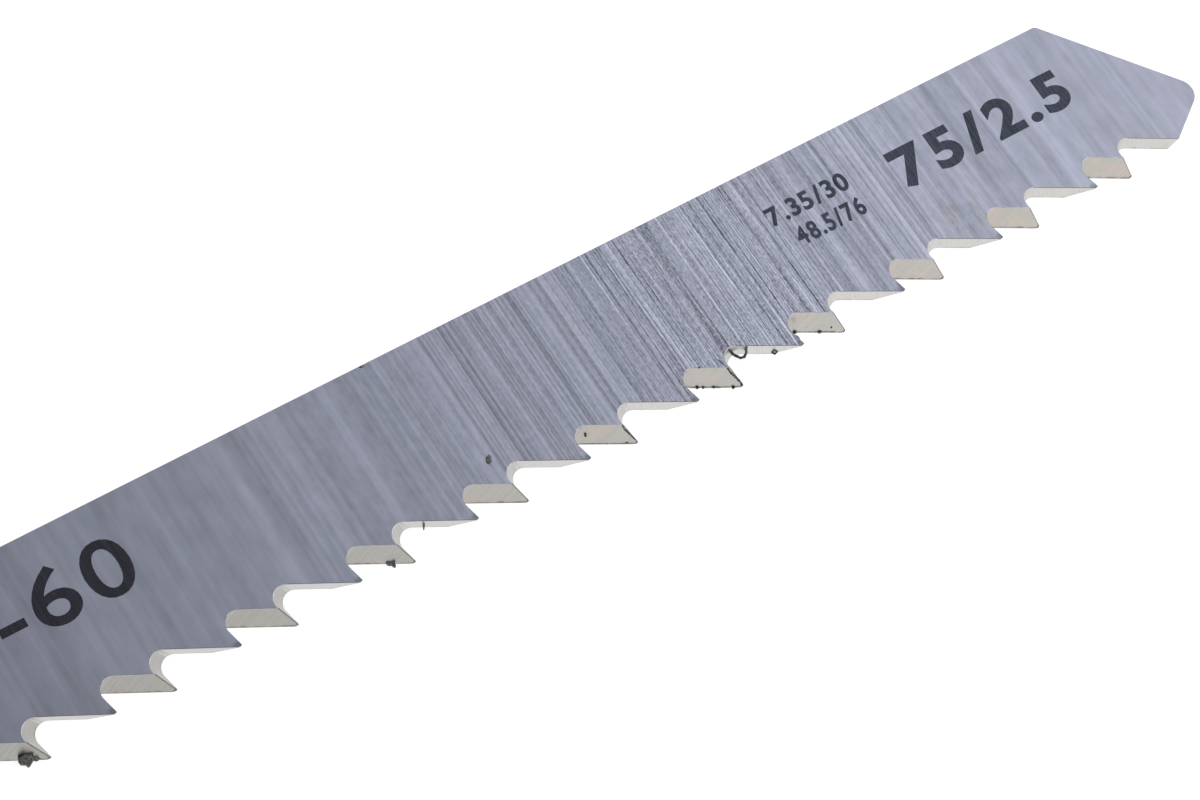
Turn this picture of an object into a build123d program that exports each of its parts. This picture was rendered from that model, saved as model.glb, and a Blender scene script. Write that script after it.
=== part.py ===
from build123d import *
from math import cos, radians, sin, tan
import os

# Blade for a reciprocating hand saw, ground from one strip of hardened steel.
# It lies flat on its underside: +X runs from the shank to the free end, +Y from the teeth
# to the back edge, and +Z is up, out of the marked face.
# The origin is on the underside, on the shank's centre line, at the lugs' shoulder.
# The teeth point at the free end. Each one is formed by the gaps beside it, and neighbouring
# gaps are ground at opposite slants, so the points lie on the upper and lower face by turns.

# Strip, in millimetres
overall_length = 100.0
strip_thickness = 1.45
blade_width = 7.35
back_offset = 3.45

# Shank with two lugs
tang_width = 6.3
tang_reach = 6.6
tang_chamfer = 1.2
lug_span = 11.0
lug_length = 3.4
lug_corner_radius = 0.6
lug_root_radius = 0.35

# Ground faces that thin the blade towards its back edge
back_thickness = 1.1
ground_start = 6.0
ground_runout_angle = 4.0

# Teeth
tooth_pitch = 2.5
clearance_angle = 27.5
rake_angle = 14.0
gap_root_radius = 0.5
slant_angle = 21.5
point_flat = 0.18
last_point_setback = 1.52

# Neck between the shank and the teeth, and the heel that steps out from it to the tooth line
least_neck_length = 8.0
heel_length = 1.1
heel_step = 0.75
heel_angle = 40.0
heel_radius = 1.0

# Free end
nose_radius = 0.7
nose_height = 1.87
end_slant_angle = 49.5
front_edge_angle = 33.0
back_corner_radius = 0.28

# Distance by which a cut runs past the steel
cut_past = 0.5

# Places along and across the strip
tip_x = overall_length - tang_reach - lug_length
tang_end_x = -lug_length - tang_reach
tooth_line_y = back_offset - blade_width
tang_half = tang_width / 2
lug_half = lug_span / 2
mid_z = strip_thickness / 2
last_point_x = tip_x - last_point_setback
neck_front_y = tooth_line_y + heel_step
heel_run = heel_step / tan(radians(heel_angle))

# As many tooth gaps as leave the neck its least length
gap_count = int((last_point_x - heel_length - heel_run - least_neck_length) / tooth_pitch)
heel_x = last_point_x - gap_count * tooth_pitch - heel_length


def corner_outside_circle(centre, radius, first_normal, second_normal):
    """Crossing of the two lines that touch a circle where the two unit normals point."""
    both_normals = first_normal + second_normal
    return centre + both_normals * (radius / (1 + first_normal.dot(second_normal)))


# The nose is a round between the slanted end and the short front edge.
slant = radians(end_slant_angle)
front = radians(front_edge_angle)
nose_centre = Vector(tip_x - nose_radius, tooth_line_y + nose_height)
slant_normal = Vector(sin(slant), cos(slant))
front_normal = Vector(sin(front), -cos(front))
nose_corner = corner_outside_circle(nose_centre, nose_radius, slant_normal, front_normal)
back_corner_x = nose_corner.X - (back_offset - nose_corner.Y) / tan(slant)
front_foot_x = nose_corner.X - (nose_corner.Y - tooth_line_y) / tan(front)

# Corners of the strip's outline with the radius of each, round from the tang's end.
outline_corners = [
    (tang_end_x, -tang_half + tang_chamfer, 0),
    (tang_end_x + tang_chamfer, -tang_half, 0),
    (-lug_length, -tang_half, lug_root_radius),
    (-lug_length, -lug_half, lug_corner_radius),
    (0, -lug_half, lug_corner_radius),
    (0, neck_front_y, lug_root_radius),
    (heel_x - heel_run, neck_front_y, heel_radius),
    (heel_x, tooth_line_y, 0),
    (front_foot_x, tooth_line_y, 0),
    (nose_corner.X, nose_corner.Y, nose_radius),
    (back_corner_x, back_offset, back_corner_radius),
    (0, back_offset, lug_root_radius),
    (0, lug_half, lug_corner_radius),
    (-lug_length, lug_half, lug_corner_radius),
    (-lug_length, tang_half, lug_root_radius),
    (tang_end_x + tang_chamfer, tang_half, 0),
    (tang_end_x, tang_half - tang_chamfer, 0),
]

with BuildSketch() as outline:
    with BuildLine():
        FilletPolyline(
            *[(x, y) for x, y, radius in outline_corners],
            radius=[radius for x, y, radius in outline_corners],
            close=True,
        )
    make_face()

# Profile of one tooth gap at mid thickness, drawn with the point of the tooth on its right at
# the origin. Its left side is the rake face of the tooth before, its right side is the flank
# of the tooth after, and both run on past the points. The strip's edge cuts the points back
# to small flats.
lean_per_height = tan(radians(slant_angle))
rake_run = tan(radians(rake_angle))
flank_run = 1 / tan(radians(clearance_angle))
flank_x = mid_z * lean_per_height
rake_x = -tooth_pitch - flank_x
root_y = (flank_x - rake_x) / (flank_run - rake_run)
gap_low_y = -cut_past

with BuildSketch() as gap_profile:
    with BuildLine():
        gap_sides = FilletPolyline(
            (rake_x - gap_low_y * rake_run, gap_low_y),
            (rake_x - root_y * rake_run, root_y),
            (flank_x - gap_low_y * flank_run, gap_low_y),
            radius=gap_root_radius,
        )
        Line(gap_sides @ 1, gap_sides @ 0)
    make_face()

# Steel above the upper ground face: a wedge that deepens towards the back edge, and that runs
# out at a shallow slope near the shank.
wedge_low_y = tooth_line_y - cut_past
wedge_high_y = back_offset + cut_past
back_depth = (strip_thickness - back_thickness) / 2
wedge_depth = back_depth * (wedge_high_y - wedge_low_y) / (back_offset - wedge_low_y)
wedge_floor_z = strip_thickness - wedge_depth
wedge_top_z = strip_thickness + cut_past
wedge_end_x = tip_x + cut_past
runout_end_x = ground_start + wedge_depth / tan(radians(ground_runout_angle))

with BuildPart() as upper_wedge:
    with BuildSketch(Plane.YZ.offset(ground_start)):
        with BuildLine():
            Polyline(
                (wedge_low_y, strip_thickness),
                (wedge_high_y, wedge_floor_z),
                (wedge_high_y, wedge_top_z),
                (wedge_low_y, wedge_top_z),
                close=True,
            )
        make_face()
    extrude(amount=wedge_end_x - ground_start)
    with BuildSketch(Plane.XZ.offset(-wedge_high_y)):
        with BuildLine():
            Polyline(
                (ground_start, strip_thickness),
                (runout_end_x, wedge_floor_z),
                (wedge_end_x, wedge_floor_z),
                (wedge_end_x, wedge_top_z),
                (ground_start, wedge_top_z),
                close=True,
            )
        make_face()
    extrude(amount=wedge_high_y - wedge_low_y, mode=Mode.INTERSECT)

# Every second gap is cut at the same slant. Its cut starts below the strip, shifted along it so
# that the profile reaches its own place at mid thickness.
cut_start = Plane.XY.offset(-cut_past)
cut_start_shift = (mid_z + cut_past) * lean_per_height
cut_reach = (strip_thickness + 2 * cut_past) / cos(radians(slant_angle))
point_y = tooth_line_y - point_flat / (flank_run - rake_run)

with BuildPart() as blade:
    with BuildSketch():
        add(outline.sketch)
    extrude(amount=strip_thickness)
    add(upper_wedge.part, mode=Mode.SUBTRACT)
    add(mirror(upper_wedge.part, about=Plane.XY.offset(mid_z), mode=Mode.PRIVATE), mode=Mode.SUBTRACT)
    for first_gap, lean in ((0, 1), (1, -1)):
        points_x = [last_point_x - step * tooth_pitch for step in range(first_gap, gap_count, 2)]
        with BuildSketch(cut_start):
            with Locations(*[(x + lean * cut_start_shift, point_y) for x in points_x]):
                add(gap_profile.sketch)
        extrude(amount=cut_reach, dir=(-lean * lean_per_height, 0, 1), mode=Mode.SUBTRACT)

blade.part.label = "blade"

os.makedirs("parts", exist_ok=True)
export_step(blade.part, "parts/blade.step")
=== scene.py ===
import logging
import math
from abc import ABC, abstractmethod
from collections.abc import Callable, Sequence
from dataclasses import dataclass
from enum import Enum

import bmesh
import bpy
from mathutils import Matrix, Vector, noise


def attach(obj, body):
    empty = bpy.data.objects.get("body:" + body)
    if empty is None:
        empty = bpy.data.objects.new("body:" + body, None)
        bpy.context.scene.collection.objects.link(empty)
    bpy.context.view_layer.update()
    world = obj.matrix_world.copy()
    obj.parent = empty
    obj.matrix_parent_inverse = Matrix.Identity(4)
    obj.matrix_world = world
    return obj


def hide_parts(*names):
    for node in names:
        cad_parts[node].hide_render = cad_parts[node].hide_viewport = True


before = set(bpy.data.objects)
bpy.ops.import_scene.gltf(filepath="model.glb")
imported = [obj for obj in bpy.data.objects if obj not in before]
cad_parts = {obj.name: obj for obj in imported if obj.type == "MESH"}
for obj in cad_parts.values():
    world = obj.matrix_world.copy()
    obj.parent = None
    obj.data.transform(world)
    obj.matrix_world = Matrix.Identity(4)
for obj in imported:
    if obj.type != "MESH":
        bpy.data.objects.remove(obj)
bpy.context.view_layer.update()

# Visual model of a flat ground steel blade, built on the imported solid.
# Sizes are in millimetres until a piece is finished, and its mesh is then turned into metres.

MM = 0.001
BODY = "root"
NODE = "blade"
NOISE_MIDDLE = 0.5
WHITE = (1.0, 1.0, 1.0)
ORIGIN = (0.0, 0.0, 0.0)

log = logging.getLogger("blade_scene")

Color = tuple[float, float, float]
Place = tuple[float, float, float]
Range = tuple[float, float]
Shape = bmesh.types.BMesh
Edge = bmesh.types.BMEdge
Face = bmesh.types.BMFace
Piece = bpy.types.Object
Material = bpy.types.Material
Socket = bpy.types.NodeSocket
Source = Socket | float | tuple[float, ...]


class Surface(Enum):
    """Kinds of surface on the blade, in the order of its material slots."""

    GROUND_FACE = 0
    SHANK_FACE = 1
    TOOTH_WALL = 2
    CUT_EDGE = 3
    WORN_CORNER = 4
    TOOTH_EDGE = 5
    STRIP_WALL = 6


WALLS = {Surface.TOOTH_WALL.value, Surface.STRIP_WALL.value}


@dataclass(frozen=True)
class BladeFacts:
    """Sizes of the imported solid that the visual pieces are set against, in millimetres."""

    thickness: float = 1.45
    tooth_line_y: float = -3.9
    ground_start_x: float = 6.0
    face_slope: float = 0.022293
    face_zero_y: float = -4.4
    slant_degrees: float = 21.5
    last_point_x: float = 88.48
    pitch: float = 2.5

    def face_height(self, y: float) -> float:
        """Height of the upper ground face at a place across the blade."""
        return self.thickness - self.face_slope * (y - self.face_zero_y)

    def leans_up(self, x: float) -> bool:
        """Whether the tooth gap at a place along the blade is open towards the upper face."""
        return round((self.last_point_x - x) / self.pitch - 0.5) % 2 == 0


FACTS = BladeFacts()


@dataclass(frozen=True)
class Step:
    """Smooth step of a number from one result, where it is low, to another, where it is high."""

    low: float
    high: float
    to_low: float = 0.0
    to_high: float = 1.0


@dataclass(frozen=True)
class Grain:
    """Noise that varies a surface.

    Its scale is in changes in a millimetre, its detail in octaves, its stretch is a factor on each
    direction, and its share is what it adds to a sum.
    """

    scale: float = 1.0
    detail: float = 0.0
    roughness: float = 0.5
    stretch: Place | None = None
    share: float = 1.0


class Wiring:
    """Adds the nodes of one node tree and joins them."""

    # Sockets of a Mix node: the share and the two colours, and the mixed colour.
    MIX_INPUTS = (0, 6, 7)
    MIX_OUTPUT = 2

    def __init__(self, tree: bpy.types.NodeTree) -> None:
        """Keeps the tree that the nodes go into."""
        self.tree = tree

    def add(self, kind: str, **settings: object) -> bpy.types.Node:
        """Adds a node.

        Args:
            kind: Blender's name for the node type.
            **settings: properties to set on it.

        Returns:
            The new node.
        """
        node = self.tree.nodes.new(kind)
        for name, value in settings.items():
            setattr(node, name, value)
        return node

    def feed(self, socket: Socket, source: Source) -> None:
        """Links a socket to another one, or gives it a fixed value.

        Args:
            socket: the socket.
            source: the other socket, or the value, which is opaque if it is a colour.
        """
        if isinstance(source, Socket):
            self.tree.links.new(source, socket)
        else:
            socket.default_value = (*source, 1.0) if socket.type == "RGBA" else source

    def feed_all(self, node: bpy.types.Node, sources: dict[str, Source]) -> None:
        """Feeds the inputs of a node by their names."""
        for name, source in sources.items():
            self.feed(node.inputs[name], source)

    def result(self, kind: str, *sources: Source, **settings: object) -> Socket:
        """First output of a new node.

        Args:
            kind: Blender's name for the node type.
            *sources: what its first inputs are fed with, in their order.
            **settings: properties to set on it.

        Returns:
            The output.
        """
        node = self.add(kind, **settings)
        for socket, source in zip(node.inputs, sources):
            self.feed(socket, source)
        return node.outputs[0]

    def end(self, kind: str, surface: Socket) -> None:
        """Adds the output node of a material or a world."""
        self.feed(self.add(kind).inputs["Surface"], surface)

    def math(self, operation: str, *sources: Source) -> Socket:
        """Result of one Math node."""
        return self.result("ShaderNodeMath", *sources, operation=operation)

    def vector(self, operation: str, *sources: Source) -> Socket:
        """Result of one Vector Math node."""
        return self.result("ShaderNodeVectorMath", *sources, operation=operation)

    def distance(self, first: Source, second: Source) -> Socket:
        """Distance between two places."""
        return self.vector("DISTANCE", first, second).node.outputs["Value"]

    def join_xyz(self, x: Source, y: Source, z: Source) -> Socket:
        """Vector made of three numbers."""
        return self.result("ShaderNodeCombineXYZ", x, y, z)

    def split_xyz(self, source: Source) -> list[Socket]:
        """The three numbers of a vector."""
        return list(self.result("ShaderNodeSeparateXYZ", source).node.outputs)

    def step(self, value: Source, step: Step) -> Socket:
        """Number that is stepped smoothly from one range to another."""
        return self.result("ShaderNodeMapRange", value, step.low, step.high, step.to_low, step.to_high,
                           interpolation_type="SMOOTHSTEP")

    def mix(self, share: Source, first: Source, second: Source, blend: str = "MIX") -> Socket:
        """Mix of two colours.

        Args:
            share: how much of the second colour is used.
            first: colour at a share of 0.
            second: colour at a share of 1.
            blend: Blender's name for the way that they are mixed.

        Returns:
            The mixed colour.
        """
        node = self.add("ShaderNodeMix", data_type="RGBA", blend_type=blend)
        for number, source in zip(self.MIX_INPUTS, (share, first, second)):
            self.feed(node.inputs[number], source)
        return node.outputs[self.MIX_OUTPUT]

    def noise(self, place: Source, grain: Grain) -> Socket:
        """Value of a noise, around its middle.

        Args:
            place: place in millimetres.
            grain: kind of noise.

        Returns:
            The value.
        """
        if grain.stretch:
            place = self.vector("MULTIPLY", place, grain.stretch)
        node = self.add("ShaderNodeTexNoise", noise_dimensions="3D")
        self.feed_all(node, {"Vector": place, "Scale": grain.scale, "Detail": grain.detail,
                             "Roughness": grain.roughness})
        return node.outputs[0]

    def sum_of(self, shares: Sequence[float], noises: Sequence[Socket]) -> Socket:
        """Sum of noises, each counted from its middle and times its share.

        Args:
            shares: share of each noise.
            noises: their values.

        Returns:
            The sum, around nought.
        """
        total: Source = -NOISE_MIDDLE * sum(shares)
        for share, value in zip(shares, noises):
            total = self.math("MULTIPLY_ADD", value, share, total)
        return total

    def grains(self, place: Source, grains: Sequence[Grain]) -> Socket:
        """Sum of noises, around nought."""
        return self.sum_of([grain.share for grain in grains], [self.noise(place, grain) for grain in grains])


@dataclass(frozen=True)
class Streak:
    """One size of grinding line: changes in a millimetre across and along it, and its share."""

    across: float
    along: float
    share: float


@dataclass(frozen=True)
class GrindingLines:
    """Shader node group with the straight lines that a grinding wheel leaves.

    Its Place is in millimetres, with the lines along Z. Its other inputs are the strengths of the
    lines from the widest to the finest, and its outputs vary around nought. Of the hair layer only
    the highest values are used, as bright single lines, and of the score layer only the lowest.
    """

    STRENGTHS = ("Wide", "Middle", "Close", "Fine")

    name: str = "grinding_lines"
    wide: tuple[Streak, ...] = (
        Streak(0.7, 0.02, 0.14), Streak(1.4, 0.02, 0.22), Streak(2.3, 0.03, 0.13),
        Streak(2.5, 0.90, 0.19),
    )
    middle: tuple[Streak, ...] = (
        Streak(3.6, 0.03, 0.21), Streak(5.8, 0.03, 0.29), Streak(5.5, 3.00, 0.15),
    )
    close: tuple[Streak, ...] = (
        Streak(9.5, 0.02, 0.90), Streak(11.0, 5.00, 0.30),
    )
    fine: tuple[Streak, ...] = (
        Streak(14.5, 0.02, 0.50), Streak(22.5, 0.025, 0.95), Streak(29.0, 0.03, 1.00),
        Streak(22.0, 8.00, 0.75), Streak(30.0, 12.0, 0.70),
    )
    hair: Streak = Streak(19.0, 0.22, 0.52)
    hair_range: Range = (0.66, 0.80)
    score: Streak = Streak(19.0, 0.25, -0.30)
    score_range: Range = (0.22, 0.36)
    middle_relief: float = 0.5
    pattern_shift: Place = (7.3, 3.1, 11.0)

    def layer(self, wiring: Wiring, place: Socket, streak: Streak) -> Socket:
        """Noise of one layer, drawn out along the lines.

        Args:
            wiring: the group's wiring.
            place: place in millimetres.
            streak: the layer.

        Returns:
            The noise's value.
        """
        stretched = wiring.vector("MULTIPLY", place, (streak.across, streak.across, streak.along))
        shift_x, shift_y, shift_z = self.pattern_shift
        shift = (streak.across * shift_x, shift_y, streak.share * shift_z)
        return wiring.noise(wiring.vector("ADD", stretched, shift), Grain())

    def lines(self, wiring: Wiring, place: Socket, streaks: tuple[Streak, ...]) -> Socket:
        """Sum of several layers, around nought."""
        return wiring.sum_of([streak.share for streak in streaks],
                             [self.layer(wiring, place, streak) for streak in streaks])

    def build(self) -> bpy.types.NodeTree:
        """Makes the group, or finds it when it is there.

        Returns:
            The node group.
        """
        made = bpy.data.node_groups.get(self.name)
        if made:
            return made
        tree = bpy.data.node_groups.new(self.name, "ShaderNodeTree")
        tree.interface.new_socket("Place", in_out="INPUT", socket_type="NodeSocketVector")
        for name in self.STRENGTHS:
            tree.interface.new_socket(name, in_out="INPUT", socket_type="NodeSocketFloat")
        for name in ("Tone", "Height"):
            tree.interface.new_socket(name, in_out="OUTPUT", socket_type="NodeSocketFloat")
        wiring = Wiring(tree)
        given = wiring.add("NodeGroupInput").outputs
        place = given["Place"]
        hair = wiring.step(self.layer(wiring, place, self.hair),
                           Step(*self.hair_range, 0.0, self.hair.share))
        score = wiring.step(self.layer(wiring, place, self.score),
                            Step(*self.score_range, self.score.share, 0.0))
        wide, middle, close, fine = (self.lines(wiring, place, streaks)
                                     for streaks in (self.wide, self.middle, self.close, self.fine))
        fine = wiring.math("ADD", fine, wiring.math("ADD", hair, score))
        wide, middle, close, fine = (wiring.math("MULTIPLY", lines, given[name])
                                     for lines, name in zip((wide, middle, close, fine), self.STRENGTHS))
        sharp = wiring.math("ADD", fine, close)
        wiring.feed_all(wiring.add("NodeGroupOutput"), {
            "Tone": wiring.math("ADD", wiring.math("ADD", sharp, middle), wide),
            "Height": wiring.math("ADD", sharp, wiring.math("MULTIPLY", middle, self.middle_relief)),
        })
        return tree


@dataclass(frozen=True)
class Band:
    """Strength that is full along a stretch of the blade and falls off on both sides of it.

    Attributes:
        least: strength outside the stretch.
        hidden: strength near the shank, which the photograph cuts off.
        seen: where that part ends and where the photograph's own strengths start.
    """

    rise_from: float
    rise_to: float
    fall_from: float
    fall_to: float
    least: float
    hidden: float = 0.6
    seen: Range = (26.0, 34.0)

    def along(self, wiring: Wiring, x: Socket) -> Socket:
        """Strength at a place along the blade.

        Args:
            wiring: the material's wiring.
            x: place along the blade.

        Returns:
            The strength.
        """
        rise = wiring.step(x, Step(self.rise_from, self.rise_to, self.least, 1.0))
        fall = wiring.step(x, Step(self.fall_from, self.fall_to, 1.0, self.least))
        hidden = wiring.step(x, Step(*self.seen, self.hidden, 0.0))
        return wiring.math("MAXIMUM", wiring.math("MINIMUM", rise, fall), hidden)


@dataclass(frozen=True)
class Scratch:
    """One straight line that stands out on the ground face, lighter or darker by its tone."""

    place: float
    width: float
    tone: float


@dataclass(frozen=True)
class DarkerTipPatches:
    """Darker patches around the teeth's points on the upper face, with an uneven border."""

    before_point: float = 0.12
    above_point: float = 0.04
    length_share: float = 0.7
    border_noise: Grain = Grain(4.0, 2.0)
    unevenness: float = -0.3
    tone: Step = Step(-0.08, 0.16, 0.62, 1.0)

    def factor(self, wiring: Wiring, x: Socket, y: Socket) -> Socket:
        """Factor on the face's tone.

        Args:
            wiring: the material's wiring.
            x: place along the blade.
            y: place across the blade.

        Returns:
            The factor, which is 1 away from the points.
        """
        cycle = 2 * FACTS.pitch
        start = wiring.math("ADD", x, self.before_point - FACTS.last_point_x + cycle / 2)
        beside = wiring.math("SUBTRACT", wiring.math("FLOORED_MODULO", start, cycle), cycle / 2)
        above = wiring.math("ADD", y, -self.above_point - FACTS.tooth_line_y)
        beside = wiring.math("MULTIPLY", beside, self.length_share)
        length = wiring.distance(wiring.join_xyz(beside, above, 0.0), ORIGIN)
        spread = wiring.noise(wiring.join_xyz(x, y, 0.0), self.border_noise)
        return wiring.step(wiring.math("ADD", length, wiring.math("MULTIPLY", spread, self.unevenness)),
                           self.tone)


@dataclass(frozen=True)
class Smudge:
    """Blotchy brownish smudge above the teeth near the free end."""

    color: Color = (0.332, 0.316, 0.350)
    middle: Place = (77.6, -2.2, 1.4)
    fade: Step = Step(0.3, 1.7, 1.0, 0.0)
    blotch_noise: Grain = Grain(1.0, 3.0, 0.6, (2.6, 1.1, 1.0))
    blotch: Step = Step(0.40, 0.60)

    def over(self, wiring: Wiring, place: Socket, base: Source) -> Socket:
        """Base colour with the smudge over it.

        Args:
            wiring: the material's wiring.
            place: place on the blade in millimetres.
            base: colour without the smudge.

        Returns:
            The colour with it.
        """
        near = wiring.step(wiring.distance(place, self.middle), self.fade)
        blotch = wiring.step(wiring.noise(place, self.blotch_noise), self.blotch)
        return wiring.mix(wiring.math("MULTIPLY", near, blotch), base, self.color)


def emptied(owner: Material | bpy.types.World) -> bpy.types.NodeTree:
    """Node tree of a new material or world, without the nodes that it starts with."""
    owner.use_nodes = True
    owner.node_tree.nodes.clear()
    return owner.node_tree


class Paint(Wiring):
    """Wiring of a material with one Principled shader."""

    def __init__(self, tree: bpy.types.NodeTree) -> None:
        """Adds the shader and the place on the piece in millimetres.

        Args:
            tree: the material's node tree.
        """
        super().__init__(tree)
        self.shader = self.add("ShaderNodeBsdfPrincipled")
        self.end("ShaderNodeOutputMaterial", self.shader.outputs[0])
        where = self.add("ShaderNodeTexCoord").outputs["Object"]
        self.place = self.vector("MULTIPLY", where, (1 / MM, 1 / MM, 1 / MM))

    def lines(self, place: Socket, strengths: Sequence[Source]) -> bpy.types.Node:
        """Adds the grinding lines.

        Args:
            place: place in millimetres, with the lines along its third number.
            strengths: strength of the lines from the widest to the finest.

        Returns:
            The node of their group.
        """
        node = self.add("ShaderNodeGroup", node_tree=GrindingLines().build())
        self.feed_all(node, {"Place": place, **dict(zip(GrindingLines.STRENGTHS, strengths))})
        return node

    def tint(self, tone: Socket, base: Source) -> None:
        """Feeds the base colour with one that a tone around nought lightens and darkens.

        Args:
            tone: the tone.
            base: colour at a tone of nought.
        """
        gain = self.math("ADD", tone, 1.0)
        toned = self.mix(1.0, base, self.join_xyz(gain, gain, gain), "MULTIPLY")
        self.feed(self.shader.inputs["Base Color"], toned)

    def roughen(self, value: Socket, share: float, roughness: float) -> None:
        """Feeds the roughness with a fixed one and a share of a varying value."""
        self.feed(self.shader.inputs["Roughness"], self.math("MULTIPLY_ADD", value, share, roughness))

    def bump(self, height: Socket, depth: float) -> None:
        """Feeds the normal with a relief.

        Args:
            height: the relief's varying height.
            depth: its depth in millimetres.
        """
        node = self.add("ShaderNodeBump")
        self.feed_all(node, {"Strength": 1.0, "Distance": depth * MM, "Height": height})
        self.feed(self.shader.inputs["Normal"], node.outputs[0])


@dataclass(frozen=True)
class Finish(ABC):
    """Base of the finishes: a Principled material with its linear base colour and fixed numbers."""

    name: str
    color: Color
    roughness: float
    metallic: float = 1.0

    @abstractmethod
    def dress(self, paint: Paint) -> None:
        """Adds what varies over the surface."""

    def build(self) -> Material:
        """Makes the material.

        Returns:
            The finished material.
        """
        material = bpy.data.materials.new(self.name)
        material.diffuse_color = (*self.color, 1.0)
        paint = Paint(emptied(material))
        paint.feed_all(paint.shader, {"Base Color": self.color, "Roughness": self.roughness,
                                      "Metallic": self.metallic})
        self.dress(paint)
        return material


@dataclass(frozen=True)
class GroundFaceFinish(Finish):
    """Side face with grinding lines across the blade, sharpest in the middle of its length.

    Attributes:
        lean: shift of a line along the blade for each millimetre across it.
        thickness_share: how much the lines change over the blade's thickness.
        wide: strength of the widest lines along the blade, and so on to the finest.
        calm: where the wide and middle lines are weaker.
        calmed: how much weaker they are there.
        crisp: where the finest lines take over from the middle and closer ones.
        crisped: how much weaker those are there.
        contrast: how much all the lines lighten and darken the face.
        scratches: single lines that stand out among the others.
    """

    lean: float = 0.012
    thickness_share: float = 0.05
    wide: Band = Band(-20.0, -10.0, 50.0, 58.0, 0.85)
    middle: Band = Band(44.0, 51.0, 80.0, 85.0, 0.45)
    close: Band = Band(50.0, 59.0, 73.0, 80.0, 0.08)
    fine: Band = Band(58.5, 65.5, 68.5, 73.5, 0.04)
    calm: Band = Band(54.0, 60.0, 68.5, 71.5, 0.0, 0.0)
    calmed: float = 0.55
    crisp: Band = Band(62.5, 65.5, 68.0, 70.5, 0.0, 0.0)
    crisped: float = 0.35
    contrast: float = 1.12
    scratches: tuple[Scratch, ...] = (
        Scratch(46.40, 0.50, 0.11), Scratch(50.00, 0.60, -0.09), Scratch(50.75, 0.50, 0.11),
        Scratch(51.55, 0.40, -0.13), Scratch(55.75, 0.50, 0.12), Scratch(56.30, 0.60, -0.09),
        Scratch(57.05, 0.35, 0.11), Scratch(59.15, 0.16, -0.16), Scratch(62.00, 0.13, 0.20),
        Scratch(63.78, 0.13, 0.24), Scratch(65.60, 0.12, -0.20), Scratch(67.12, 0.15, 0.18),
        Scratch(70.60, 0.15, 0.22), Scratch(71.40, 0.16, -0.18), Scratch(75.05, 0.13, 0.16),
        Scratch(75.42, 0.11, 0.14), Scratch(78.80, 0.50, 0.10), Scratch(80.66, 0.50, -0.09),
    )
    roughness_share: float = -0.10
    relief_depth: float = 0.002
    hue_noise: Grain = Grain(1.0, 1.0, 0.5, (0.9, 0.2, 0.2))
    cool: Color = (0.340, 0.400, 0.474)
    cool_share: Step = Step(0.42, 0.70, 0.0, 0.22)
    warm: Color = (0.411, 0.376, 0.446)
    warm_share: Step = Step(0.30, 0.50, 0.06, 0.0)
    tips: DarkerTipPatches = DarkerTipPatches()
    smudge: Smudge = Smudge()

    def strengths(self, paint: Paint, x: Socket) -> tuple[Socket, ...]:
        """Strengths of the lines from the widest to the finest.

        Args:
            paint: the material's wiring.
            x: place along the blade.

        Returns:
            The four strengths.
        """
        calm, crisp = (paint.math("MULTIPLY_ADD", band.along(paint, x), -loss, 1.0)
                       for band, loss in ((self.calm, self.calmed), (self.crisp, self.crisped)))
        wide, middle, close, fine = (band.along(paint, x)
                                     for band in (self.wide, self.middle, self.close, self.fine))
        middle = paint.math("MULTIPLY", paint.math("MULTIPLY", middle, calm), crisp)
        return paint.math("MULTIPLY", wide, calm), middle, paint.math("MULTIPLY", close, crisp), fine

    def dress(self, paint: Paint) -> None:
        """Adds the lines, the faint colours, the darker patches at the tips and the smudge.

        Args:
            paint: the material's wiring.
        """
        x, y, z = paint.split_xyz(paint.place)
        across = paint.math("ADD", x, paint.math("MULTIPLY", y, self.lean))
        drawn = paint.join_xyz(across, paint.math("MULTIPLY", z, self.thickness_share), y)
        lines = paint.lines(drawn, self.strengths(paint, x)).outputs
        hue = paint.noise(paint.join_xyz(across, y, z), self.hue_noise)
        base = paint.mix(paint.step(hue, self.cool_share), self.color, self.cool)
        base = paint.mix(paint.step(hue, self.warm_share), base, self.warm)
        base = self.smudge.over(paint, paint.place, base)
        tone = lines["Tone"]
        for scratch in self.scratches:
            away = paint.math("ABSOLUTE", paint.math("SUBTRACT", across, scratch.place))
            tone = paint.math("ADD", tone, paint.step(away, Step(0.0, scratch.width, scratch.tone, 0.0)))
        lined = paint.math("MULTIPLY_ADD", tone, self.contrast, 1.0)
        lined = paint.math("MULTIPLY", lined, self.tips.factor(paint, x, y))
        paint.tint(paint.math("SUBTRACT", lined, 1.0), base)
        paint.roughen(lines["Tone"], self.roughness_share, self.roughness)
        paint.bump(lines["Height"], self.relief_depth)


@dataclass(frozen=True)
class ShankFaceFinish(Finish):
    """Face of the shank, left as the strip was rolled and hardened."""

    tones: tuple[Grain, ...] = (
        Grain(0.5, 4.0, 0.6, share=0.45),
        Grain(1.0, 3.0, 0.6, (0.35, 6.0, 6.0), 0.35),
        Grain(14.0, 2.0, share=0.25),
    )
    reliefs: tuple[Grain, ...] = (
        Grain(1.0, 3.0, 0.6, (0.35, 6.0, 6.0), 0.6),
        Grain(14.0, 2.0, share=0.8),
    )
    roughness_share: float = -0.35
    relief_depth: float = 0.005

    def dress(self, paint: Paint) -> None:
        """Adds broad patches, rolling lines and fine grain.

        Args:
            paint: the material's wiring.
        """
        tone = paint.grains(paint.place, self.tones)
        paint.tint(tone, self.color)
        paint.roughen(tone, self.roughness_share, self.roughness)
        paint.bump(paint.grains(paint.place, self.reliefs), self.relief_depth)


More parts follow.
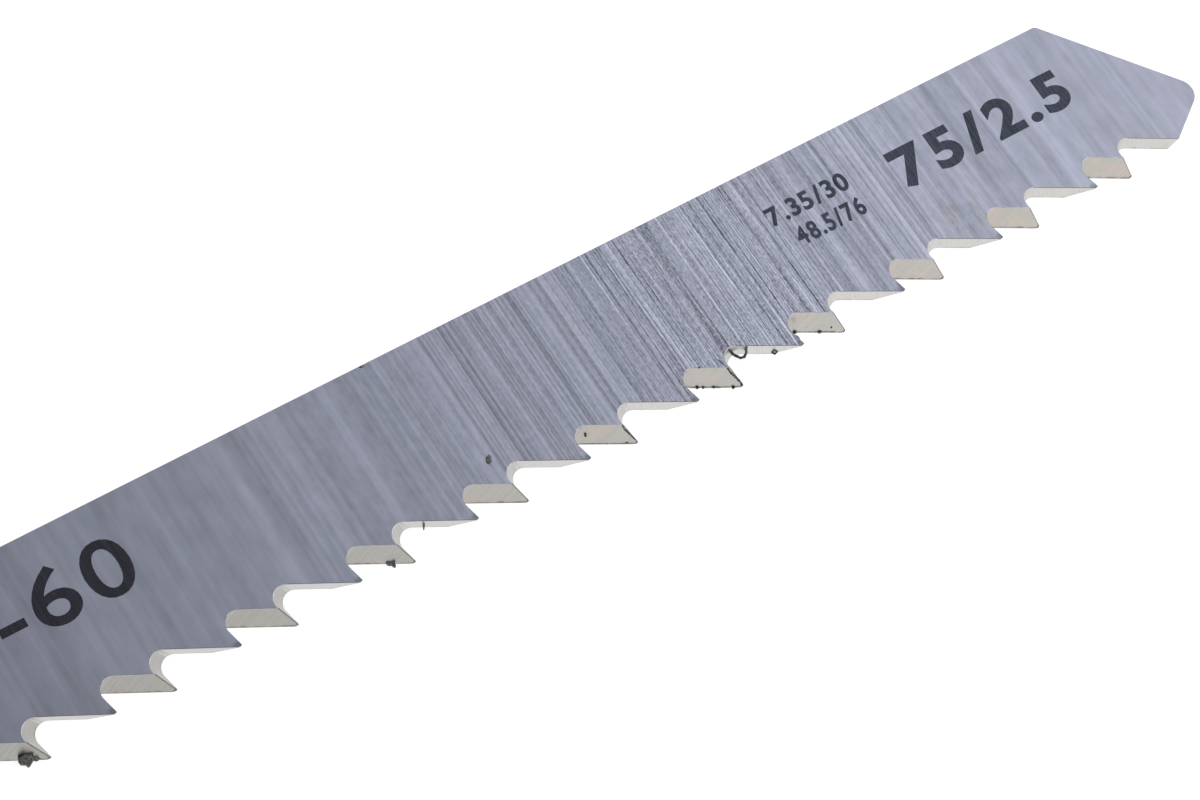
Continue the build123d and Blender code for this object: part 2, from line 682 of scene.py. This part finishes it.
@dataclass(frozen=True)
class ToothWallFinish(Finish):
    """Walls of the tooth gaps, with fine lines along the wheel's slanted path.

    The heat of grinding left patches of a blush and a straw colour, and the walls are darker along their
    lower edge.

    Attributes:
        dull: how bright the walls near the shank stay, as painted shade for the dimmer light that they
            reflect there.
        patchy: strength of the patches.
        squeeze: factors that bring the lines closer together than on the face.
        strengths: strength of the lines from the widest to the finest.
    """

    # Painted shade: the walls darken towards the shank, down to this share of their brightness.
    dull: float = 0.72
    shank_shade_range: Range = (36.0, 74.0)
    patchy: float = 1.0
    patch_noise: Grain = Grain(0.9, 2.0)
    blush: Color = (0.60, 0.515, 0.475)
    blush_range: Range = (0.50, 0.66)
    blush_share: float = 0.75
    blush_along: Step = Step(46.0, 60.0, 0.3, 1.0)
    straw: Color = (0.575, 0.54, 0.45)
    straw_range: Range = (0.34, 0.50)
    straw_share: float = 0.85
    straw_along: Step = Step(68.0, 80.0, 0.25, 1.0)
    stain: Color = (0.44, 0.40, 0.34)
    stain_noise: Grain = Grain(2.6, 3.0, 0.6)
    stain_share: Step = Step(0.56, 0.74, 0.0, 0.4)
    lower_edge_color: Color = (0.17, 0.155, 0.13)
    lower_edge_noise: Grain = Grain(3.4, 3.0, 0.6)
    lower_edge_unevenness: float = 0.34
    lower_edge_share: Step = Step(0.04, 0.18, 0.85, 0.0)
    squeeze: Place = (1.6, 1.6, 1.0)
    strengths: tuple[float, ...] = (0.12, 0.11, 0.10, 0.11)
    relief_depth: float = 0.002

    def dress(self, paint: Paint) -> None:
        """Adds the lines, the patches, the stains, the dark lower edge and the painted shade towards the
        shank.

        Args:
            paint: the material's wiring.
        """
        path = paint.add("ShaderNodeAttribute", attribute_type="GEOMETRY",
                         attribute_name=GroundBlade.PATH_ATTRIBUTE).outputs["Vector"]
        lines = paint.lines(paint.vector("MULTIPLY", path, self.squeeze), self.strengths).outputs
        x, y, z = paint.split_xyz(paint.place)
        patches = paint.noise(paint.place, self.patch_noise)
        blushed = paint.step(patches, Step(*self.blush_range, 0.0, self.blush_share * self.patchy))
        strawed = paint.step(patches, Step(*self.straw_range, self.straw_share * self.patchy, 0.0))
        base = paint.mix(paint.math("MULTIPLY", blushed, paint.step(x, self.blush_along)), self.color,
                         self.blush)
        base = paint.mix(paint.math("MULTIPLY", strawed, paint.step(x, self.straw_along)), base, self.straw)
        stained = paint.step(paint.noise(paint.place, self.stain_noise), self.stain_share)
        base = paint.mix(stained, base, self.stain)
        border = paint.math("MULTIPLY_ADD", paint.noise(paint.place, self.lower_edge_noise),
                            -self.lower_edge_unevenness,
                            paint.math("ADD", z, self.lower_edge_unevenness * NOISE_MIDDLE))
        base = paint.mix(paint.step(border, self.lower_edge_share), base, self.lower_edge_color)
        # Painted shade: the walls darken towards the shank, for the dimmer light that they reflect there.
        bright = paint.step(x, Step(*self.shank_shade_range, self.dull, 1.0))
        paint.tint(paint.math("ADD", lines["Tone"], paint.math("SUBTRACT", bright, 1.0)), base)
        paint.bump(lines["Height"], self.relief_depth)


@dataclass(frozen=True)
class CutEdgeFinish(Finish):
    """Edges of the strip as they were stamped, with upright drag lines and a torn lower half."""

    tones: tuple[Grain, ...] = (
        Grain(1.0, 2.0, 0.6, (9.0, 9.0, 0.8), 0.5),
        Grain(8.0, 3.0, 0.7, share=0.35),
    )
    torn: Step = Step(0.35, 0.75, 1.0, 0.0)
    torn_tone: float = 0.72
    torn_share: float = 0.5
    torn_roughness: float = 0.16
    relief_depth: float = 0.012

    def dress(self, paint: Paint) -> None:
        """Adds the drag lines and the torn half.

        Args:
            paint: the material's wiring.
        """
        tone = paint.grains(paint.place, self.tones)
        torn = paint.step(paint.split_xyz(paint.place)[2], self.torn)
        paint.tint(tone, paint.mix(paint.math("MULTIPLY", torn, self.torn_share), self.color,
                                   tuple(self.torn_tone * part for part in self.color)))
        paint.roughen(torn, self.torn_roughness, self.roughness)
        paint.bump(tone, self.relief_depth)


@dataclass(frozen=True)
class CornerWearAndShadeFinish(Finish):
    """Narrow rounds along the sharp corners, brighter where they were rubbed. With a near-black colour, it
    is painted shade along the tooth edges.
    """

    rubbed: Grain = Grain(5.0, 3.0, 0.6, share=1.1)

    def dress(self, paint: Paint) -> None:
        """Adds the rubbed places."""
        paint.tint(paint.grains(paint.place, [self.rubbed]), self.color)


@dataclass(frozen=True)
class EtchFinish(Finish):
    """Dark etched mark, through which the grinding lines still show a little."""

    thickness_share: float = 0.3
    strengths: tuple[float, ...] = (0.5, 0.8, 0.8, 0.8)
    blotch: Grain = Grain(3.0, 4.0, 0.65, share=0.9)
    relief_depth: float = 0.003

    def dress(self, paint: Paint) -> None:
        """Adds the lines and the blotches.

        Args:
            paint: the material's wiring.
        """
        x, y, z = paint.split_xyz(paint.place)
        drawn = paint.join_xyz(x, paint.math("MULTIPLY", z, self.thickness_share), y)
        lines = paint.lines(drawn, self.strengths).outputs
        paint.tint(paint.math("ADD", lines["Tone"], paint.grains(paint.place, [self.blotch])), self.color)
        paint.bump(lines["Height"], self.relief_depth)


@dataclass(frozen=True)
class GritFinish(Finish):
    """Dull dark grit and torn burrs."""

    light: Color = (0.30, 0.29, 0.27)
    light_noise: Grain = Grain(11.0, 3.0, 0.6)
    light_share: Step = Step(0.42, 0.66)
    relief_noise: Grain = Grain(22.0, 2.0)
    relief_depth: float = 0.02

    def dress(self, paint: Paint) -> None:
        """Adds lighter spots and the relief.

        Args:
            paint: the material's wiring.
        """
        spots = paint.step(paint.noise(paint.place, self.light_noise), self.light_share)
        paint.feed(paint.shader.inputs["Base Color"], paint.mix(spots, self.color, self.light))
        paint.bump(paint.noise(paint.place, self.relief_noise), self.relief_depth)


def placed(name: str, data: bpy.types.ID | None) -> Piece:
    """New object of the scene with the given mesh, curve, lamp or camera."""
    made = bpy.data.objects.new(name, data)
    bpy.context.scene.collection.objects.link(made)
    return made


def mesh_of(name: str, shape: Shape, *materials: Material) -> bpy.types.Mesh:
    """Turns a bmesh into a mesh.

    Args:
        name: name of the mesh.
        shape: the bmesh, which is freed.
        *materials: its material slots.

    Returns:
        The mesh.
    """
    mesh = bpy.data.meshes.new(name)
    shape.to_mesh(mesh)
    shape.free()
    for material in materials:
        mesh.materials.append(material)
    return mesh


def finished(name: str, shape: Shape, *materials: Material) -> Piece:
    """Turns a bmesh in millimetres into a piece in metres that rides on the blade's body.

    Args:
        name: name of the piece.
        shape: its mesh in millimetres, which is freed.
        *materials: its material slots.

    Returns:
        The piece's object.
    """
    bmesh.ops.scale(shape, vec=(MM, MM, MM), verts=shape.verts)
    piece = placed(name, mesh_of(name, shape, *materials))
    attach(piece, BODY)
    return piece


@dataclass
class GroundBlade:
    """The whole blade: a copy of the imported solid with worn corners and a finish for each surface."""

    PATH_ATTRIBUTE = "wheel_path"

    corner_round: float = 0.015
    rim_round: float = 0.02
    point_round: float = 0.06
    cutting_round: float = 0.05
    segments: int = 2
    point_segments: int = 3
    round_profile: float = 0.5
    merge_distance: float = 0.0005
    point_slack: float = 0.01
    upright_normal: float = 0.95
    flat_degrees: float = 0.2
    level_degrees: float = 0.5
    smooth_degrees: float = 15.0
    sharp_degrees: float = 24.0
    steep_degrees: float = 40.0
    rim_depth: float = 0.06
    gap_top_y: float = -2.2
    first_gap_x: float = 8.6
    ground: GroundFaceFinish = GroundFaceFinish("ground_face_steel", (0.380, 0.389, 0.469), 0.36)
    shank: ShankFaceFinish = ShankFaceFinish("shank_face_steel", (0.42, 0.43, 0.47), 0.42)
    wall: ToothWallFinish = ToothWallFinish("tooth_wall_steel", (0.53, 0.515, 0.485), 0.30)
    edge: CutEdgeFinish = CutEdgeFinish("cut_edge_steel", (0.46, 0.46, 0.48), 0.40)
    corner: CornerWearAndShadeFinish = CornerWearAndShadeFinish("worn_corner_steel", (0.55, 0.55, 0.57), 0.30)
    # Painted shade: the rounded tooth edges on the side that looks dark get this near-black colour.
    tooth_edge: CornerWearAndShadeFinish = CornerWearAndShadeFinish("tooth_edge_painted_shade", (0.20, 0.195, 0.19), 0.42)
    # The strip walls are a lighter copy of the tooth wall steel. Its lighter base colour is a painted
    # reflection that brightens walls mirroring the white floor. Its dull value keeps less painted shade near
    # the shank, and its patches are fainter.
    strip: ToothWallFinish = ToothWallFinish("strip_wall_painted_bright_steel", (0.63, 0.615, 0.595), 0.30, dull=0.84,
                                             patchy=0.2)

    def is_level(self, face: Face) -> bool:
        """Whether a face belongs to one of the blade's two side faces."""
        return abs(face.normal.z) > self.upright_normal

    def surface_of(self, face: Face) -> Surface:
        """Which kind of surface a face of the solid is.

        Args:
            face: the face.

        Returns:
            Its surface.
        """
        middle = face.calc_center_median()
        if self.is_level(face):
            return Surface.GROUND_FACE if middle.x > FACTS.ground_start_x else Surface.SHANK_FACE
        if middle.y < self.gap_top_y and middle.x > self.first_gap_x:
            return Surface.STRIP_WALL if FACTS.leans_up(middle.x) else Surface.TOOTH_WALL
        return Surface.CUT_EDGE

    def surfaces_beside(self, edge: Edge) -> set[int]:
        """Slots of the faces beside an edge."""
        return {face.material_index for face in edge.link_faces}

    def is_point_corner(self, edge: Edge) -> bool:
        """Whether an edge is a corner of the small flat at a tooth's point."""
        at_point = all(vert.co.y < FACTS.tooth_line_y + self.point_slack for vert in edge.verts)
        return at_point and self.surfaces_beside(edge) <= WALLS

    def is_cutting_edge(self, edge: Edge) -> bool:
        """Whether an edge is the slanted cutting edge of a tooth."""
        steep = edge.calc_face_angle() > math.radians(self.steep_degrees)
        return steep and self.surfaces_beside(edge) <= WALLS

    def is_rim(self, edge: Edge) -> bool:
        """Whether an edge lies between a side face and a tooth wall or a tip's round."""
        beside = self.surfaces_beside(edge)
        walls = WALLS | {Surface.TOOTH_EDGE.value}
        return bool(beside & walls) and not beside <= walls

    def is_dark(self, face: Face) -> bool:
        """Whether a rounded edge at a tooth is one that the photograph shows dark."""
        middle = face.calc_center_median()
        return FACTS.leans_up(middle.x) == (middle.z > FACTS.thickness - self.rim_depth)

    def is_plain_corner(self, edge: Edge) -> bool:
        """Whether an edge is a corner away from the teeth."""
        return not self.surfaces_beside(edge) & (WALLS | {Surface.TOOTH_EDGE.value})

    def round_edges(self, shape: Shape, offset: float, segments: int, surface: Surface,
                    wanted: Callable[[Edge], bool]) -> None:
        """Rounds the sharp edges of one kind.

        Args:
            shape: the blade's mesh in millimetres.
            offset: how far the round reaches from the edge.
            segments: faces across the round.
            surface: kind of surface that the round becomes.
            wanted: tells whether a sharp edge is of this kind.
        """
        shape.normal_update()
        sharp = [edge for edge in shape.edges if edge.is_manifold and wanted(edge)
                 and edge.calc_face_angle() > math.radians(self.sharp_degrees)]
        made = bmesh.ops.bevel(shape, geom=sharp, offset=offset, segments=segments,
                               profile=self.round_profile, affect="EDGES", material=-1,
                               clamp_overlap=False)
        for face in made["faces"]:
            if face.calc_area() < face.calc_perimeter() * offset:
                face.material_index = surface.value

    def mark_path(self, shape: Shape) -> None:
        """Gives every corner of a tooth wall its place in the wheel's slanted path.

        Args:
            shape: the blade's mesh in millimetres, with its materials set.
        """
        layer = shape.loops.layers.float_vector.new(self.PATH_ATTRIBUTE)
        lean = math.tan(math.radians(FACTS.slant_degrees))
        middle = FACTS.thickness / 2
        for face in shape.faces:
            side = 0.0
            if face.material_index in WALLS:
                side = 1.0 if FACTS.leans_up(face.calc_center_median().x) else -1.0
            for loop in face.loops:
                at = loop.vert.co
                loop[layer] = (at.x + side * lean * (at.z - middle), at.y, at.z)

    def build(self) -> Piece:
        """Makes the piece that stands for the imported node.

        Returns:
            The blade's object.
        """
        shape = bmesh.new()
        shape.from_mesh(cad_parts[NODE].data)
        bmesh.ops.scale(shape, vec=(1 / MM, 1 / MM, 1 / MM), verts=shape.verts)
        bmesh.ops.remove_doubles(shape, verts=shape.verts, dist=self.merge_distance)
        bmesh.ops.dissolve_limit(shape, angle_limit=math.radians(self.flat_degrees), verts=shape.verts,
                                 edges=shape.edges, use_dissolve_boundaries=False)
        for face in shape.faces:
            face.material_index = self.surface_of(face).value
            face.smooth = True
        for offset, segments, surface, wanted in (
            (self.point_round, self.point_segments, Surface.TOOTH_EDGE, self.is_point_corner),
            (self.cutting_round, self.segments, Surface.TOOTH_EDGE, self.is_cutting_edge),
            (self.rim_round, self.segments, Surface.TOOTH_EDGE, self.is_rim),
            (self.corner_round, self.segments, Surface.WORN_CORNER, self.is_plain_corner),
        ):
            self.round_edges(shape, offset, segments, surface, wanted)
        # Rounded tooth edges on the side that looks dark keep the near-black painted shade. The others get
        # the lighter worn corner steel.
        for face in shape.faces:
            if face.material_index == Surface.TOOTH_EDGE.value and not self.is_dark(face):
                face.material_index = Surface.WORN_CORNER.value
        shape.normal_update()
        for edge in shape.edges:
            if edge.is_manifold:
                level = all(self.is_level(face) for face in edge.link_faces)
                turn = math.degrees(edge.calc_face_angle())
                edge.smooth = turn <= self.level_degrees if level else turn < self.smooth_degrees
        self.mark_path(shape)
        finishes = (self.ground, self.shank, self.wall, self.edge, self.corner, self.tooth_edge,
                    self.strip)
        piece = finished("ground_blade", shape, *(finish.build() for finish in finishes))
        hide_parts(NODE)
        return piece


@dataclass(frozen=True)
class EtchedNumber:
    """A plain number etched on the upper face.

    Its place is that of its right side along the blade and of its base across it. The gap between
    two signs and what makes them bold are in the font's own size, and lift is its height off the face.
    """

    name: str
    text: str
    height: float
    right: float
    base: float
    width: float
    bold: float
    gap: float = 0.10
    lift: float = 0.004
    fineness: int = 6

    def add_sign(self, shape: Shape, sign: str, left: float) -> float:
        """Adds one sign of the number.

        Args:
            shape: the number so far, in the font's own size.
            sign: the sign.
            left: where the sign's left side goes.

        Returns:
            Where the sign's right side is.
        """
        curve = bpy.data.curves.new(self.name, "FONT")
        curve.body = sign
        curve.offset = self.bold
        curve.resolution_u = self.fineness
        holder = placed(self.name, curve)
        bpy.context.view_layer.update()
        mesh = bpy.data.meshes.new_from_object(holder)
        before = set(shape.verts)
        shape.from_mesh(mesh)
        fresh = [vert for vert in shape.verts if vert not in before]
        shift = left - min(vert.co.x for vert in fresh)
        bmesh.ops.translate(shape, vec=(shift, 0.0, 0.0), verts=fresh)
        bpy.data.objects.remove(holder)
        bpy.data.curves.remove(curve)
        bpy.data.meshes.remove(mesh)
        return max(vert.co.x for vert in fresh)

    def build(self, material: Material) -> Piece:
        """Makes the number and lays it on the tilted face.

        Args:
            material: material of the etched marks.

        Returns:
            The number's object.
        """
        shape = bmesh.new()
        end = -self.gap
        for sign in self.text:
            end = self.add_sign(shape, sign, end + self.gap)
        low_x, high_x = (pick(v.co.x for v in shape.verts) for pick in (min, max))
        low_y, high_y = (pick(v.co.y for v in shape.verts) for pick in (min, max))
        grow = (self.width / (high_x - low_x), self.height / (high_y - low_y), 1.0)
        bmesh.ops.translate(shape, vec=(-high_x, -low_y, 0.0), verts=shape.verts)
        bmesh.ops.scale(shape, vec=grow, verts=shape.verts)
        bmesh.ops.translate(shape, vec=(self.right, self.base, 0.0), verts=shape.verts)
        for vert in shape.verts:
            vert.co.z = FACTS.face_height(vert.co.y) + self.lift
        for face in shape.faces:
            if face.normal.z < 0:
                face.normal_flip()
        return finished(self.name, shape, material)


@dataclass(frozen=True)
class Speck:
    """A speck of grit, a pit or a torn burr, turned by degrees and lumpy by a share of its size."""

    place: Place
    size: Place
    turn: float = 0.0
    lumpy: float = 0.25


@dataclass(frozen=True)
class Strand:
    """A thin curled chip or a line of burr that runs through some points and clings to a tooth."""

    points: tuple[Place, ...]
    radius: float


@dataclass(frozen=True)
class Grit:
    """Specks, chips and burrs of one colour that cling to the teeth and the face."""

    UNIT_RADIUS = 0.5

    name: str
    finish: GritFinish
    specks: tuple[Speck, ...]
    strands: tuple[Strand, ...]
    speck_subdivisions: int = 2
    lump_scale: float = 4.0
    lump_shift: float = 5.0
    bead_subdivisions: int = 1
    bead_scale: float = 6.0
    bead_unevenness: float = 0.5
    beads_per_mm: float = 24.0
    fewest_beads: int = 2

    def add_lump(self, shape: Shape, speck: Speck, seed: float, subdivisions: int) -> None:
        """Adds one uneven ball.

        Args:
            shape: the mesh that it joins.
            speck: its place, sizes and turn.
            seed: tells its unevenness from that of the others.
            subdivisions: fineness of the ball.
        """
        made = bmesh.ops.create_icosphere(shape, subdivisions=subdivisions, radius=self.UNIT_RADIUS)
        for vert in made["verts"]:
            push = noise.noise(vert.co * self.lump_scale + Vector((seed * self.lump_shift, 0.0, 0.0)))
            vert.co *= 1.0 + speck.lumpy * push
        bmesh.ops.scale(shape, vec=speck.size, verts=made["verts"])
        bmesh.ops.rotate(shape, cent=ORIGIN, verts=made["verts"],
                         matrix=Matrix.Rotation(math.radians(speck.turn), 3, "Z"))
        bmesh.ops.translate(shape, vec=speck.place, verts=made["verts"])

    def beads(self, strand: Strand) -> list[Speck]:
        """Overlapping balls of uneven thickness along a strand.

        Args:
            strand: the strand.

        Returns:
            The balls.
        """
        found = []
        for start, end in zip(strand.points, strand.points[1:]):
            step = Vector(end) - Vector(start)
            count = max(self.fewest_beads, math.ceil(step.length * self.beads_per_mm))
            for number in range(count):
                place = Vector(start) + step * (number / count)
                uneven = 1.0 + self.bead_unevenness * noise.noise(place * self.bead_scale)
                width = 2 * strand.radius * uneven
                found.append(Speck(tuple(place), (width, width, width)))
        return found

    def build(self) -> Piece:
        """Makes all the specks and strands as one piece.

        Returns:
            The piece.
        """
        shape = bmesh.new()
        for number, speck in enumerate(self.specks):
            self.add_lump(shape, speck, number, self.speck_subdivisions)
        for strand in self.strands:
            for number, bead in enumerate(self.beads(strand)):
                self.add_lump(shape, bead, number, self.bead_subdivisions)
        for face in shape.faces:
            face.smooth = True
        return finished(self.name, shape, self.finish.build())


@dataclass(frozen=True)
class Wear:
    """Everything that use and grinding left on the blade, as places in millimetres."""

    sharp: Grit = Grit(
        "dark_grit_and_burrs",
        GritFinish("dark_grit", (0.040, 0.040, 0.038), 0.7, 0.2),
        (
            Speck((64.22, -3.10, 0.08), (0.15, 0.11, 0.12)),
            Speck((64.43, -3.22, 0.06), (0.11, 0.07, 0.10)),
            Speck((64.83, -3.38, 0.08), (0.18, 0.13, 0.12), 15.0),
            Speck((65.53, -3.76, 0.07), (0.22, 0.13, 0.14), 20.0),
            Speck((65.05, -3.50, 0.06), (0.07, 0.06, 0.08)),
            Speck((64.17, -2.75, 1.405), (0.16, 0.08, 0.05)),
            Speck((59.62, -3.22, 0.07), (0.10, 0.09, 0.10)),
            Speck((59.83, -3.36, 0.06), (0.15, 0.08, 0.10)),
            Speck((69.03, -2.98, 0.10), (0.20, 0.15, 0.14)),
            Speck((69.93, -3.45, 0.10), (0.19, 0.13, 0.14)),
            Speck((70.11, -3.17, 1.40), (0.14, 0.09, 0.05), 30.0),
            Speck((70.31, -3.58, 0.40), (0.08, 0.08, 0.08)),
            Speck((68.82, -3.30, 0.42), (0.12, 0.28, 0.14), 10.0, 0.4),
            Speck((65.66, -3.74, 0.50), (0.10, 0.13, 0.12), 0.0, 0.4),
            Speck((65.78, -3.86, 0.24), (0.11, 0.09, 0.10), 0.0, 0.4),
        ),
        (
            Strand(((66.38, -2.87, 1.24), (66.46, -2.86, 0.95), (66.57, -2.90, 0.50),
                    (66.45, -2.98, 0.42), (66.29, -2.95, 0.42), (66.20, -2.83, 0.44),
                    (66.08, -2.72, 0.50), (65.92, -2.63, 0.77)), 0.058),
            Strand(((65.65, -2.64, 1.33), (65.80, -2.64, 1.05), (65.93, -2.63, 0.77)), 0.046),
            Strand(((67.60, -3.32, 0.33), (67.53, -3.37, 0.76), (67.74, -3.42, 0.43),
                    (67.63, -3.45, 0.37), (67.60, -3.32, 0.33)), 0.046),
            Strand(((65.01, -2.86, 1.42), (65.08, -3.12, 1.42), (65.15, -3.31, 1.37)), 0.030),
            Strand(((65.15, -3.31, 1.37), (65.27, -3.42, 1.10), (65.43, -3.56, 0.85),
                    (65.59, -3.68, 0.63), (65.72, -3.78, 0.42), (65.80, -3.84, 0.30)), 0.042),
            Strand(((60.22, -3.35, 1.34), (60.30, -3.44, 1.09), (60.41, -3.53, 0.92),
                    (60.62, -3.71, 0.55), (60.80, -3.85, 0.27)), 0.028),
        ),
    )
    dull: Grit = Grit(
        "dull_pits_and_lumps",
        GritFinish("dull_grit", (0.105, 0.105, 0.108), 0.7, 0.3),
        (
            Speck((54.97, -2.10, 1.396), (0.26, 0.44, 0.03), -32.0, 0.4),
            Speck((52.75, 3.38, 1.22), (0.34, 0.16, 0.16)),
            Speck((50.05, -3.42, 0.12), (0.40, 0.34, 0.16), 8.0, 0.5),
            Speck((50.10, -3.62, 0.10), (0.16, 0.24, 0.12)),
            Speck((35.16, -3.54, 0.30), (0.66, 0.44, 0.50), 10.0, 0.80),
            Speck((35.40, -3.62, 0.20), (0.36, 0.28, 0.30), -20.0, 0.60),
            Speck((35.14, -3.68, 0.16), (0.34, 0.24, 0.26), 30.0, 0.60),
            Speck((52.64, -3.39, 1.37), (0.40, 0.12, 0.06), -28.0, 0.5),
            Speck((60.53, -3.65, 0.15), (0.24, 0.20, 0.16)),
            Speck((58.97, -2.86, 0.75), (0.12, 0.10, 0.10)),
        ),
        (
            Strand(((51.74, -2.83, 0.90), (51.69, -2.97, 0.75), (51.63, -3.11, 0.60)), 0.045),
            Strand(((58.99, -2.96, 0.10), (59.78, -3.37, 0.09), (60.58, -3.78, 0.09)), 0.014),
            Strand(((63.93, -2.95, 0.06), (64.32, -3.15, 0.06), (64.74, -3.38, 0.06),
                    (65.21, -3.61, 0.06), (65.60, -3.81, 0.06)), 0.016),
            Strand(((68.95, -2.95, 0.07), (69.35, -3.15, 0.08), (69.79, -3.38, 0.09),
                    (70.22, -3.60, 0.10), (70.50, -3.76, 0.10)), 0.014),
        ),
    )

    def build(self) -> list[Piece]:
        """Makes the pieces of both colours."""
        return [self.sharp.build(), self.dull.build()]


@dataclass
class Studio:
    """Pale floor, soft light that grows towards the free end, and the camera."""

    floor_half: float = 3.0
    floor_drop: float = 0.00002
    floor_color: Color = (0.80, 0.80, 0.80)
    floor_glow: float = 0.74
    mirrored_glow: float = 1.0
    dim: Color = (0.14, 0.144, 0.151)
    bright: Color = (1.31, 1.33, 1.37)
    behind: Color = (0.60, 0.61, 0.63)
    bright_share: Step = Step(-0.12, 0.75)
    behind_share: Step = Step(-0.60, -0.20, 1.0, 0.0)
    lamp_place: Place = (0.45, -0.25, 0.6)
    lamp_size: float = 0.4
    lamp_power: float = 0.25
    eye: Place = (21.90813, -25.89698, 95.63278)
    aim: Place = (60.0, -2.0573, 1.3994)
    up: Place = (0.434358, 0.815747, 0.381956)
    lens: float = 82.9255
    sensor: float = 36.0
    nearest: float = 0.005
    farthest: float = 20.0

    def build_floor(self) -> None:
        """Makes the floor, white to the camera and to metal, with the object's shadow on it."""
        shape = bmesh.new()
        bmesh.ops.create_grid(shape, x_segments=1, y_segments=1, size=self.floor_half)
        bmesh.ops.translate(shape, vec=(0.0, 0.0, -self.floor_drop), verts=shape.verts)
        material = bpy.data.materials.new("white_floor")
        wiring = Wiring(emptied(material))
        paint = wiring.result("ShaderNodeBsdfDiffuse", self.floor_color)
        glow, mirrored = (wiring.result("ShaderNodeEmission", WHITE, strength)
                          for strength in (self.floor_glow, self.mirrored_glow))
        ray = wiring.add("ShaderNodeLightPath").outputs
        lit = wiring.result("ShaderNodeAddShader", paint, glow)
        seen = wiring.result("ShaderNodeMixShader", ray["Is Camera Ray"], paint, lit)
        sharp = wiring.math("MAXIMUM", ray["Is Glossy Ray"], ray["Is Transmission Ray"])
        wiring.end("ShaderNodeOutputMaterial", wiring.result("ShaderNodeMixShader", sharp, seen, mirrored))
        floor = placed("floor", mesh_of("floor", shape, material))

    def build_world(self) -> None:
        """Makes the soft surroundings: bright beyond the free end, grey beyond the shank, else dim."""
        world = bpy.data.worlds.new("soft_room")
        wiring = Wiring(emptied(world))
        x = wiring.split_xyz(wiring.add("ShaderNodeTexCoord").outputs["Generated"])[0]
        ahead = wiring.mix(wiring.step(x, self.bright_share), self.dim, self.bright)
        light = wiring.mix(wiring.step(x, self.behind_share), ahead, self.behind)
        wiring.end("ShaderNodeOutputWorld", wiring.result("ShaderNodeBackground", light))
        bpy.context.scene.world = world

    def build_lamp(self) -> None:
        """Makes the soft lamp beyond the free end."""
        light = bpy.data.lights.new("soft_lamp", "AREA")
        light.shape = "SQUARE"
        light.size = self.lamp_size
        light.energy = self.lamp_power
        lamp = placed("soft_lamp", light)
        lamp.location = self.lamp_place
        aim = Vector(self.aim) * MM
        lamp.rotation_euler = (aim - lamp.location).to_track_quat("-Z", "Y").to_euler()

    def build_camera(self) -> None:
        """Makes the camera at the photograph's place."""
        data = bpy.data.cameras.new("camera")
        data.sensor_width = self.sensor
        data.lens = self.lens
        data.clip_start = self.nearest
        data.clip_end = self.farthest
        camera = placed("camera", data)
        back = (Vector(self.eye) - Vector(self.aim)).normalized()
        right = Vector(self.up).cross(back).normalized()
        turn = Matrix((right, back.cross(right), back)).transposed()
        camera.matrix_world = Matrix.Translation(Vector(self.eye) * MM) @ turn.to_4x4()
        bpy.context.scene.camera = camera

    def build(self) -> None:
        """Makes everything around the object."""
        bpy.context.scene.view_settings.view_transform = "Standard"
        self.build_floor()
        self.build_world()
        self.build_lamp()
        self.build_camera()


@dataclass
class Marks:
    """The plain numbers etched where the blade carries its marks, in millimetres and degrees.

    They are toothed length and pitch, width and count of whole teeth, the angle of a tooth's edge
    and its cutting angle, and the thickness of the work that the blade suits.
    """

    grey: EtchFinish = EtchFinish("etched_mark", (0.050, 0.057, 0.085), 0.55, 0.35)
    black: EtchFinish = EtchFinish("etched_dark_mark", (0.020, 0.020, 0.032), 0.55, 0.30)
    lengths: EtchedNumber = EtchedNumber("etched_lengths", "75/2.5", 1.84, 85.0, -0.34, 8.9, 0.036)
    section: EtchedNumber = EtchedNumber("etched_section", "7.35/30", 0.84, 74.1, 0.85, 3.90, 0.032)
    angles: EtchedNumber = EtchedNumber("etched_angles", "48.5/76", 0.84, 74.1, -0.38, 3.30, 0.032)
    range: EtchedNumber = EtchedNumber("etched_range", "3-60", 2.3, 41.6, -0.22, 7.2, 0.010)

    def build(self) -> list[Piece]:
        """Makes all the numbers.

        Returns:
            Their objects.
        """
        grey = self.grey.build()
        pieces = [number.build(grey) for number in (self.lengths, self.section, self.angles)]
        return [*pieces, self.range.build(self.black.build())]


def main() -> None:
    """Builds the pieces in order and reports each one."""
    logging.basicConfig(level=logging.INFO, format="%(message)s")
    Studio().build()
    pieces = [GroundBlade().build(), *Marks().build(), *Wear().build()]
    for piece in pieces:
        log.info("%s: %d faces", piece.name, len(piece.data.polygons))


if __name__ == "__main__":
    main()
